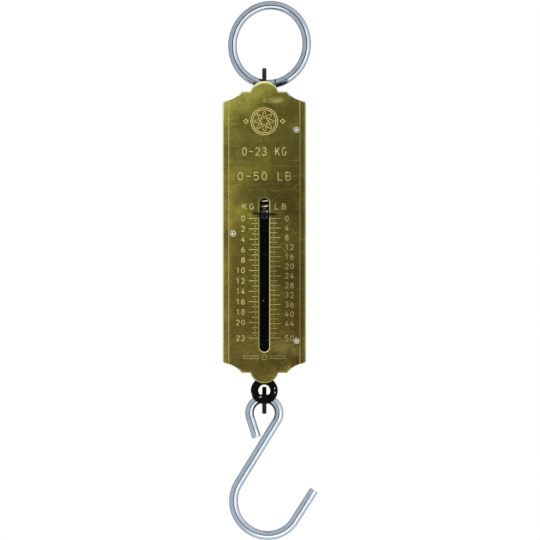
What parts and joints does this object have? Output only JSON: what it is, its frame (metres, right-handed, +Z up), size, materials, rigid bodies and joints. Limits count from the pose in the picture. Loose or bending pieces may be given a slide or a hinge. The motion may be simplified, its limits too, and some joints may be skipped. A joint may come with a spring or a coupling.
{
  "type": "spring scale",
  "caption": "Hanging pocket spring balance: brass face with a slot and engraved scales, wire ring above, flat links, sprung draw bar with pointer, and an S-shaped load hook below.",
  "frame": {"origin": "the inside of the ring's crown, above the load line, where the scale hangs", "axes": "+Z up along the load line, +X to the right as the face is read, +Y away from the face"},
  "size_m": [0.0434, 0.018, 0.2467],
  "materials": {
    "bright_wire": "bright zinc plate",
    "brass": "fine brushed, aged",
    "black_enamel": "black stoving enamel",
    "black_steel": "blackened steel",
    "plug_steel": "dull turned steel",
    "pin_steel": "plain steel",
    "rivet_metal": "silvery, domed",
    "spring_steel": "bright drawn wire"
  },
  "bodies": {
    "ring": {"ring": "bright_wire"},
    "top_link": {"top_link": "black_steel"},
    "case": {"face_plate": "brass", "case_back": "black_enamel", "face_rivets": "rivet_metal", "top_end_plate": "black_enamel", "bottom_end_plate": "black_enamel", "top_anchor": "black_steel", "upper_plug": "plug_steel", "anchor_rivet": "pin_steel", "case_pin": "pin_steel", "spring": "spring_steel"},
    "draw": {"lower_plug": "plug_steel", "bar_pin": "pin_steel", "pointer": "black_steel", "draw_bar": "black_enamel"},
    "bottom_link": {"bottom_link": "black_steel"},
    "hook": {"hook": "bright_wire"}
  },
  "joints": [
    {"name": "ring_swing", "type": "hinge", "parent": "ring", "child": "top_link", "pos_m": [0, 0, -0.03366], "axis": [1, 0, 0], "range_deg": [-35, 80]},
    {"name": "case_swing", "type": "hinge", "parent": "top_link", "child": "case", "pos_m": [0, -0.00315, -0.03691], "axis": [0, 1, 0], "range_deg": [-35, 35]},
    {"name": "draw_slide", "type": "slide", "parent": "case", "child": "draw", "axis": [0, 0, -1], "range_m": [0, 0.06], "stiffness_N_per_m": 4150, "springref_m": -0.001, "deforming": ["spring"]},
    {"name": "link_swing", "type": "hinge", "parent": "draw", "child": "bottom_link", "pos_m": [0, -0.00315, -0.17406], "axis": [0, 1, 0], "range_deg": [-50, 50]},
    {"name": "hook_swing", "type": "hinge", "parent": "bottom_link", "child": "hook", "pos_m": [0, 0, -0.17761], "axis": [1, 0, 0], "range_deg": [-10, 75]}
  ]
}
